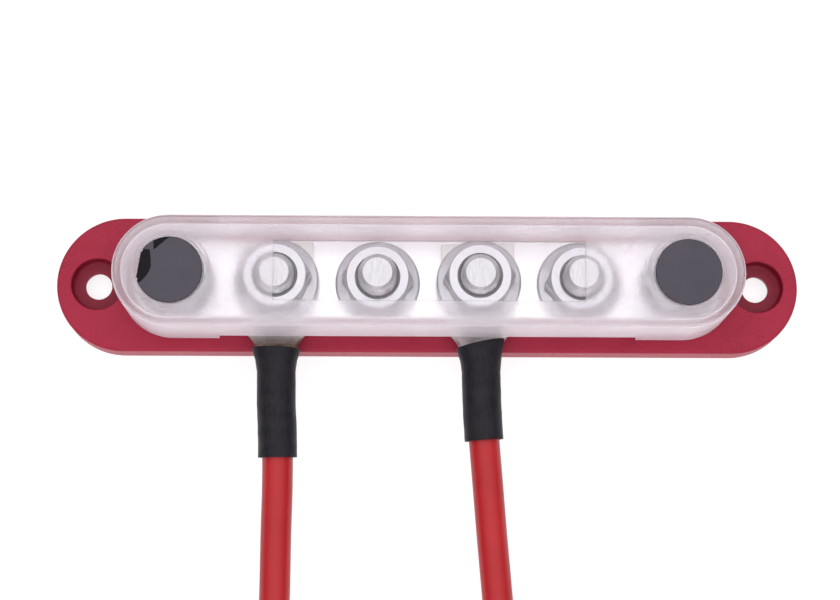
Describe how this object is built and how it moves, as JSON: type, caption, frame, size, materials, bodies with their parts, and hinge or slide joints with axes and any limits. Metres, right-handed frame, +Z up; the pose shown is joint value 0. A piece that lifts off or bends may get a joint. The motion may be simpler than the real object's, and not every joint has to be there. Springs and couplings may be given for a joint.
{
  "type": "power distribution bus bar",
  "caption": "Low stadium-shaped power bus bar: moulded base, plated bar with threaded studs and flange nuts, frosted lift-off cover, and two lugged leads.",
  "frame": {"origin": "middle of the base's underside", "axes": "+X along the bar, +Z up out of the mounting surface, the leads leave towards -Y"},
  "size_m": [0.2439, 0.2056, 0.0288],
  "materials": {
    "base_plastic": "satin moulded",
    "tinned_copper": "tin-plated copper, satin",
    "plated_steel": "bright plated",
    "insert_brass": "turned",
    "frosted_cover": "frosted clear polycarbonate with a polished window",
    "cap_black": "glossy film",
    "heat_shrink": "semi-matte",
    "cable_jacket": "satin PVC",
    "tie_nylon": "moulded nylon"
  },
  "bodies": {
    "root": {"base": "base_plastic", "bus_bar": "tinned_copper", "lug_left": "tinned_copper", "lug_right": "tinned_copper", "lug_far_left": "tinned_copper", "lug_far_right": "tinned_copper", "stud_1": "plated_steel", "stud_2": "plated_steel", "stud_3": "plated_steel", "stud_4": "plated_steel", "post_left": "plated_steel", "post_right": "plated_steel", "insert_left": "insert_brass", "insert_right": "insert_brass", "sleeve_left": "heat_shrink", "sleeve_right": "heat_shrink", "sleeve_far_left": "heat_shrink", "sleeve_far_right": "heat_shrink", "cable_left": "cable_jacket", "cable_right": "cable_jacket", "cable_left_coil": "cable_jacket", "cable_right_coil": "cable_jacket", "cable_left_end": "cable_jacket", "cable_right_end": "cable_jacket", "tie_left": "tie_nylon", "tie_right": "tie_nylon"},
    "cover": {"cover": "frosted_cover"},
    "cap_left": {"cap_left": "cap_black"},
    "cap_right": {"cap_right": "cap_black"},
    "cover_screw_left": {"cover_screw_left": "plated_steel"},
    "cover_screw_right": {"cover_screw_right": "plated_steel"},
    "nut_1": {"nut_1": "plated_steel"},
    "nut_2": {"nut_2": "plated_steel"},
    "nut_3": {"nut_3": "plated_steel"},
    "nut_4": {"nut_4": "plated_steel"}
  },
  "joints": [
    {"name": "cover_lift", "type": "slide", "parent": "root", "child": "cover", "axis": [0, 0, 1], "range_m": [0, 0.03]},
    {"name": "cap_left_lift", "type": "slide", "parent": "cover", "child": "cap_left", "axis": [0, 0, 1], "range_m": [0, 0.01]},
    {"name": "cover_screw_left_turn", "type": "hinge", "parent": "cover", "child": "cover_screw_left", "pos_m": [-0.0648, 0, 0.0243], "axis": [0, 0, 1], "continuous": true},
    {"name": "cap_right_lift", "type": "slide", "parent": "cover", "child": "cap_right", "axis": [0, 0, 1], "range_m": [0, 0.01]},
    {"name": "cover_screw_right_turn", "type": "hinge", "parent": "cover", "child": "cover_screw_right", "pos_m": [0.0648, 0, 0.0243], "axis": [0, 0, 1], "continuous": true},
    {"name": "nut_1_unscrew", "type": "slide", "parent": "root", "child": "nut_1", "axis": [0, 0, 1], "range_m": [0, 0.0045]},
    {"name": "nut_2_unscrew", "type": "slide", "parent": "root", "child": "nut_2", "axis": [0, 0, 1], "range_m": [0, 0.007]},
    {"name": "nut_3_unscrew", "type": "slide", "parent": "root", "child": "nut_3", "axis": [0, 0, 1], "range_m": [0, 0.0045]},
    {"name": "nut_4_unscrew", "type": "slide", "parent": "root", "child": "nut_4", "axis": [0, 0, 1], "range_m": [0, 0.007]}
  ]
}
